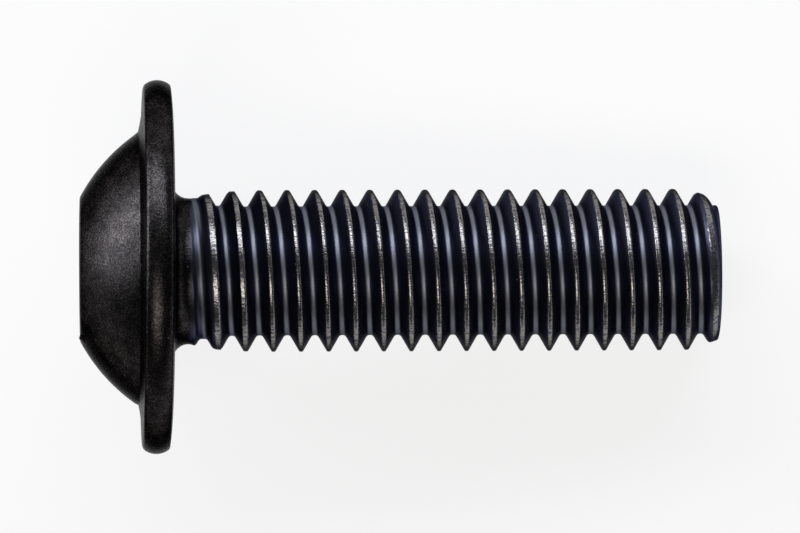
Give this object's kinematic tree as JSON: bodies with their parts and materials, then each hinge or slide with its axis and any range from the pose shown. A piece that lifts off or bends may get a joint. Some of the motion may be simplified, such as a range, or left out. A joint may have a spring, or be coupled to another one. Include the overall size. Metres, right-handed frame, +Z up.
{
  "type": "flanged button head screw",
  "caption": "Flanged button head socket screw with a right-hand coarse machine thread, in black-oxide steel; clamps a part under its wide flange.",
  "frame": {"origin": "centre of the bearing face under the flange, on the screw's own axis", "axes": "+Z up from the surface the screw lies on; +X along the screw, from head to tip, level; the screw's own axis lies in the XZ plane and falls 11.34 degrees below +X towards the tip"},
  "size_m": [0.0237, 0.0136, 0.0133],
  "materials": {
    "black_oxide_steel": "oiled black oxide, satin on the head and glossy in the thread"
  },
  "bodies": {
    "root": {"screw": "black_oxide_steel"}
  },
  "joints": []
}
